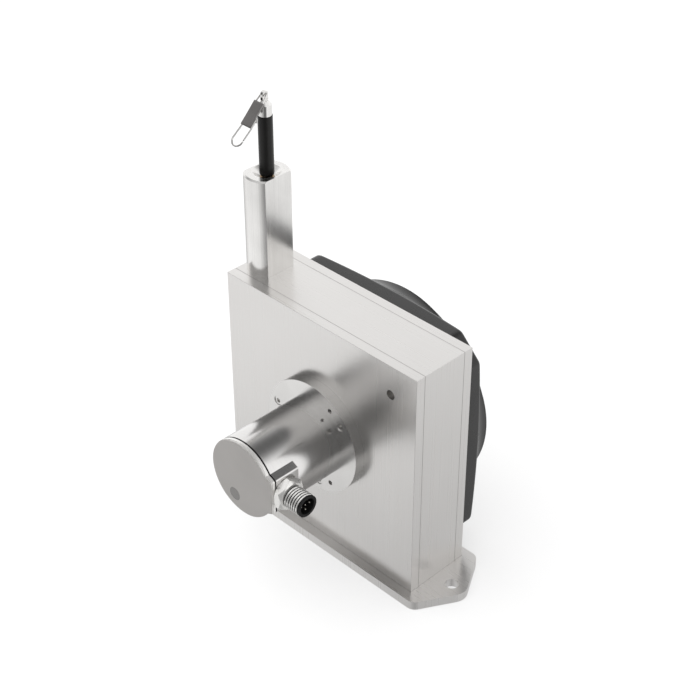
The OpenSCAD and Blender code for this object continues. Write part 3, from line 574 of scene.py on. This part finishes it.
# the plug's shell: one profile carried round the plug's line. The hexagon's radius is half its width
# divided by the cosine of the angle from the nearest flat, and is cut back by a cone at each end.
# The thread's radius is a triangle wave of the place along the line, moved on by one pitch a turn
def plugShell():
    s = plugShape
    low, high = boxOf("plug_shell")
    sealLow, sealHigh = boxOf("plug_seal")
    centre = (low + high) / 2
    angle = np.linspace(0, 2 * np.pi, s["columns"], endpoint=False)[None, :]
    inner = s["thread"] / 2 - s["bore"]
    spigot = s["thread"] / 2 - s["spigot"]
    root = s["thread"] / 2 - s["root"]
    collar = sealHigh[2] - centre[2] + s["clear"]
    hexStart = sealLow[0] + s["clear"]
    hexEnd = sealLow[0] + s["hexagonLength"]
    threadStart = hexEnd + s["neck"]

    def ring(reach, place):
        return carried("x", centre, reach + 0 * angle, place, angle)

    flat = s["hexagon"] / 2 / np.cos(np.mod(angle + np.pi / 6, np.pi / 3) - np.pi / 6)
    place = np.linspace(hexStart, hexEnd, s["hexagonRows"])[:, None]
    full = s["hexagon"] / 2 / math.cos(math.pi / 6)
    cone = np.minimum(full - s["backChamfer"] + (place - hexStart) * s["backSlope"],
                      full - s["frontChamfer"] + (hexEnd - place) * s["frontSlope"])
    hexagon = carried("x", centre, np.minimum(flat, cone), place, angle)
    place = np.arange(threadStart, high[0], s["step"])[:, None]
    turn = (place - threadStart) / s["pitch"] - angle / (2 * np.pi)
    wave = np.minimum(s["crown"] * (1 - np.abs(2 * np.mod(turn, 1) - 1)), 1)
    rise = np.clip((place - threadStart) / s["runIn"], 0, 1)
    fall = np.clip((high[0] - place) / s["runOut"], 0, 1)
    thread = carried("x", centre, root + s["root"] * wave * (rise * fall), place, angle)
    points = np.concatenate([
        ring(inner, low[0]), ring(spigot, low[0]), ring(spigot, sealHigh[0]),
        ring(collar, sealHigh[0]), ring(collar, hexStart),
        hexagon, ring(root, hexEnd), thread, ring(root, high[0]), ring(inner, high[0])])
    plating = finish("plating_with_painted_root_shade", platingWithRootShade(platingLook, centre, root, threadStart))
    piece = gridPiece("plug_shell_turned", points[::-1], plating, "housing", True, True)
    piece.data.set_sharp_from_angle(angle=math.radians(s["sharp"]))
    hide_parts("plug_shell")


plugShell()

lidShape = {
    "earReach": 0.0779,    # from the centre to the cut-off corners
    "flange": 0.0104,
    "web": 0.0024,         # how much thicker the flange is midway between two ears
    "hollow": 0.0001,      # how far the sides are drawn in between the ears
    "corner": 230,         # a higher power gives sharper corners
    "edge": 0.0022,        # radius of the flange's edge
    "chamber": 0.0571,     # radius of the round part
    "fillet": 0.0095,      # height of the blend up to the round part
    "brim": 0.0040,        # radius of the round part's edge
    "wall": 0.0036,
    "roof": 0.0030,        # what the bore leaves standing
    "screwReach": 0.0675,
    "screwHole": 0.00215,
    "screwPocket": 0.0041,
    "pocketFloor": 0.0064,
    "spare": 0.001,        # how far the cutters stand out
    "columns": 360,
    "slopeRows": 40,
    "brimRows": 12,
    "cutterColumns": 96,
    "sharp": 32,           # degrees between faces that still shade as one
}


# a closed solid from rings of points, its poles merged
def ringSolid(name, points, material):
    piece = gridPiece(name, points, material, None, False, True)
    work = bmesh.new()
    work.from_mesh(piece.data)
    bmesh.ops.remove_doubles(work, verts=work.verts, dist=1e-7)
    bmesh.ops.recalc_face_normals(work, faces=work.faces)
    work.to_mesh(piece.data)
    work.free()
    return piece


# the spring chamber's lid. Its outline is the smooth minimum of a square, whose sides are drawn in by
# a parabola, and the four cut-off corners: the power mean of the distances to the lines. The flange
# thickens by the same parabola. From its edge, less a quarter circle there, the height follows a
# hollow quarter ellipse up to the round part. A round bore and four stepped screw holes are cut out
def rearLid():
    s = lidShape
    low, high = boxOf("rear_cover")
    centre = (low + high) / 2
    half = (high[0] - low[0]) / 2
    deep = high[1] - low[1]
    angle = np.linspace(0, 2 * np.pi, s["columns"], endpoint=False)[None, :]
    side = s["earReach"] * math.sqrt(2) - half
    slant = np.tan(np.mod(angle + np.pi / 4, np.pi / 2) - np.pi / 4) * half / side
    midway = np.clip(1 - slant ** 2, 0, 1)
    drawn = half - s["hollow"] * midway
    power = s["corner"]
    reach = (np.abs(np.cos(angle) / drawn) ** power + np.abs(np.sin(angle) / drawn) ** power
             + np.abs(np.cos(angle - np.pi / 4) / s["earReach"]) ** power
             + np.abs(np.cos(angle + np.pi / 4) / s["earReach"]) ** power) ** (-1 / power)
    spread = (1 - np.cos(np.linspace(np.pi, 0, s["slopeRows"])))[:, None] / 2
    radius = s["chamber"] + (reach - s["chamber"]) * spread
    inside = np.clip((reach - radius) / (reach - s["chamber"]), 0, 1)
    height = s["flange"] + s["web"] * midway + s["fillet"] * (1 - np.sqrt(1 - inside ** 2))
    rim = np.clip(s["edge"] - (reach - radius), 0, s["edge"])
    height = height - s["edge"] + np.sqrt(s["edge"] ** 2 - rim ** 2)
    bend = np.linspace(0, np.pi / 2, s["brimRows"])[:, None]
    top = carried("y", centre, s["chamber"] - s["brim"] * (1 - np.cos(bend)) + 0 * angle,
                  low[1] + deep - s["brim"] * (1 - np.sin(bend)), angle)
    inward = np.linspace(0.9, 0, 7)[:, None] + 0 * angle
    flat = carried("y", centre, (s["chamber"] - s["brim"]) * inward, high[1], angle)
    floor = carried("y", centre, reach * np.array([0, 0.5, 1])[:, None], low[1], angle)
    slope = carried("y", centre, radius, low[1] + height, angle)
    points = np.concatenate([floor, slope, top, flat])
    lid = ringSolid("rear_cover_lid", points, materials["cover"])

    def cutter(middle, profile):
        reach, place = np.array(profile).T
        turn = np.linspace(0, 2 * np.pi, s["cutterColumns"], endpoint=False)[None, :]
        rings = carried("y", middle, reach[:, None] + 0 * turn, low[1] + place[:, None], turn)
        return ringSolid("cutter", rings, materials["cover"])

    bore = s["chamber"] - s["wall"]
    shift = s["screwReach"] / math.sqrt(2)
    under, over, roof = -s["spare"], deep + s["spare"], deep - s["roof"]
    hole, pocket, step = s["screwHole"], s["screwPocket"], s["pocketFloor"]
    cutters = [cutter(centre, [(0, under), (bore, under), (bore, roof), (0, roof)])]
    for x in (-shift, shift):
        for z in (-shift, shift):
            cutters.append(cutter(centre + [x, 0, z], [
                (0, under), (hole, under), (hole, step), (pocket, step), (pocket, over), (0, over)]))
    for tool in cutters:
        cut = lid.modifiers.new("cut", "BOOLEAN")
        cut.operation = "DIFFERENCE"
        cut.solver = "EXACT"
        cut.object = tool
    bpy.context.view_layer.update()
    result = lid.evaluated_get(bpy.context.evaluated_depsgraph_get())
    shaped = bpy.data.meshes.new_from_object(result)
    lid.modifiers.clear()
    lid.data = shaped
    for tool in cutters:
        bpy.data.objects.remove(tool)
    shaped.polygons.foreach_set("use_smooth", np.ones(len(shaped.polygons), bool))
    shaped.set_sharp_from_angle(angle=math.radians(s["sharp"]))
    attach(lid, "housing")
    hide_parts("rear_cover")


rearLid()
print("new pieces made")

stageLook = {
    "floorSize": 12.0,
    "floorColour": (0.42, 0.42, 0.42),
    "floorGlow": 0.56,
    "sunStrength": 1.7,
    "sunAngle": 70.0,
    "sunTurn": (20, 0, -60),
}


# a pale level floor that shines a little itself and isn't seen in the metal
def pavedFloor():
    size = stageLook["floorSize"]
    ticks = np.linspace(-size, size, 9)
    x, y = np.meshgrid(ticks, ticks, indexing="ij")
    points = np.stack([x, y, np.zeros_like(x)], -1)
    colour = stageLook["floorColour"]
    paper = finish("floor_paper", lambda graph: {
        "Base Color": graph.tint(graph.noise((3, 3, 3)), colour, tuple(0.99 * c for c in colour)),
        "Roughness": 0.9,
        "Specular IOR Level": 0.0,
        "Emission Color": (1, 1, 1, 1),
        "Emission Strength": stageLook["floorGlow"],
    })
    floor = gridPiece("floor", points[::-1], paper)
    floor.visible_glossy = False


pavedFloor()

sunData = bpy.data.lights.new("softSun", "SUN")
sunData.energy = stageLook["sunStrength"]
sunData.angle = math.radians(stageLook["sunAngle"])
sun = bpy.data.objects.new("softSun", sunData)
sun.rotation_euler = [math.radians(a) for a in stageLook["sunTurn"]]
sun.visible_glossy = False
bpy.context.scene.collection.objects.link(sun)

# the room: bright round the horizon, with a ceiling that darkens sooner towards the back and a
# ground that darkens straight below
roomLook = {
    "bright": 1.10,
    "ceiling": (0.68, 1.02, 0.10),     # height where it starts to darken, where it ends, and what is left
    "ground": (-0.50, -0.82, 0.22),
    "groundBack": (-0.30, -0.85, 0.36),
    "lean": 0.25,                      # how much sooner the ceiling darkens towards the back
    "backLeft": 0.30,                  # how much darker the ground is at the back left
    "backFrom": (-0.3, 0.3),           # where the front gives way to the back, along Y
    "leftFrom": (0.2, 0.6),            # where the left begins, along -X
    "lowFrom": (0.25, 0.5),            # and how far below
}


# what is left at height z when it darkens smoothly between two heights
def darkened(z, span):
    first, last, rest = span
    return 1 - ((z - first) * (1 / (last - first))).step(0, 1) * (1 - rest)


world = bpy.data.worlds.new("paleRoom")
bpy.context.scene.world = world
room = Graph(world)
way = room.add("ShaderNodeTexCoord", out="Generated")
wayX, wayY, wayZ = (room.add("ShaderNodeSeparateXYZ", {}, {0: way}, out=a) for a in "XYZ")
back = wayY.step(*roomLook["backFrom"])
groundFront = darkened(wayZ, roomLook["ground"])
groundBack = darkened(wayZ, roomLook["groundBack"])
ground = groundFront * (1 - back) + groundBack * back
corner = back * (wayX * -1).step(*roomLook["leftFrom"]) * (wayZ * -1).step(*roomLook["lowFrom"])
ground = ground * (1 - corner * roomLook["backLeft"])
ceiling = darkened(wayZ + wayY * roomLook["lean"], roomLook["ceiling"])
light = room.add("ShaderNodeBackground", {}, {
    "Color": (1, 1, 1, 1), "Strength": ground * ceiling * roomLook["bright"]})
room.add("ShaderNodeOutputWorld", {}, {"Surface": light})

# a dark screen round the front, seen only in the metal: how much it darkens, by height, at its left
# end and at its right end, where 1 is black
screenLook = {
    "radius": 4.0,
    "lift": 80,                        # degrees up and down from the middle
    "left": {"rise": (-0.52, -0.20), "depth": 0.90, "fade": (0.25, 0.85), "faded": 0.62},
    "right": {"rise": (-0.80, -0.40), "depth": 0.90, "fade": (0.40, 0.85), "faded": 0.50},
    "side": (-0.10, 0.60),             # where the left shade gives way to the right one, along X
    "front": (0.05, 0.45),             # how far round from the sides it reaches its full shade
}


# part of a ball round the object: azimuth from the left to the right, height from below to above
def frontScreen():
    s = screenLook
    turn = np.radians(np.linspace(-180, 0, 49))
    lift = np.radians(np.linspace(-s["lift"], s["lift"], 41))
    aa, ee = np.meshgrid(turn, lift, indexing="ij")
    low, high = boxOf("front_plate")
    middle = (low + high) / 2
    way = np.stack([np.cos(ee) * np.cos(aa), np.cos(ee) * np.sin(aa), np.sin(ee)], -1)
    points = middle + s["radius"] * way
    material = bpy.data.materials.new("screen_cloth")
    graph = Graph(material)
    x, y, z = ((graph.axis(a) - float(m)) * (1 / s["radius"]) for a, m in zip("XYZ", middle))

    def shade(end):
        return z.step(*end["rise"]) * (1 - z.step(*end["fade"]) * end["faded"]) * end["depth"]

    right = x.step(*s["side"])
    front = (y * -1).step(*s["front"])
    dark = (shade(s["left"]) * (1 - right) + shade(s["right"]) * right) * front
    clear = graph.add("ShaderNodeBsdfTransparent", {}, {"Color": (1, 1, 1, 1)})
    cloth = graph.add("ShaderNodeBsdfDiffuse", {}, {"Color": (0.01, 0.01, 0.01, 1)})
    both = graph.add("ShaderNodeMixShader", {}, {0: dark, 1: clear, 2: cloth})
    graph.add("ShaderNodeOutputMaterial", {}, {"Surface": both})
    screen = gridPiece("front_screen", points, material)
    screen.visible_camera = False
    screen.visible_diffuse = False
    screen.visible_shadow = False
    screen.visible_transmission = False


frontScreen()

bpy.context.scene.view_settings.view_transform = "Standard"
print("stage set")
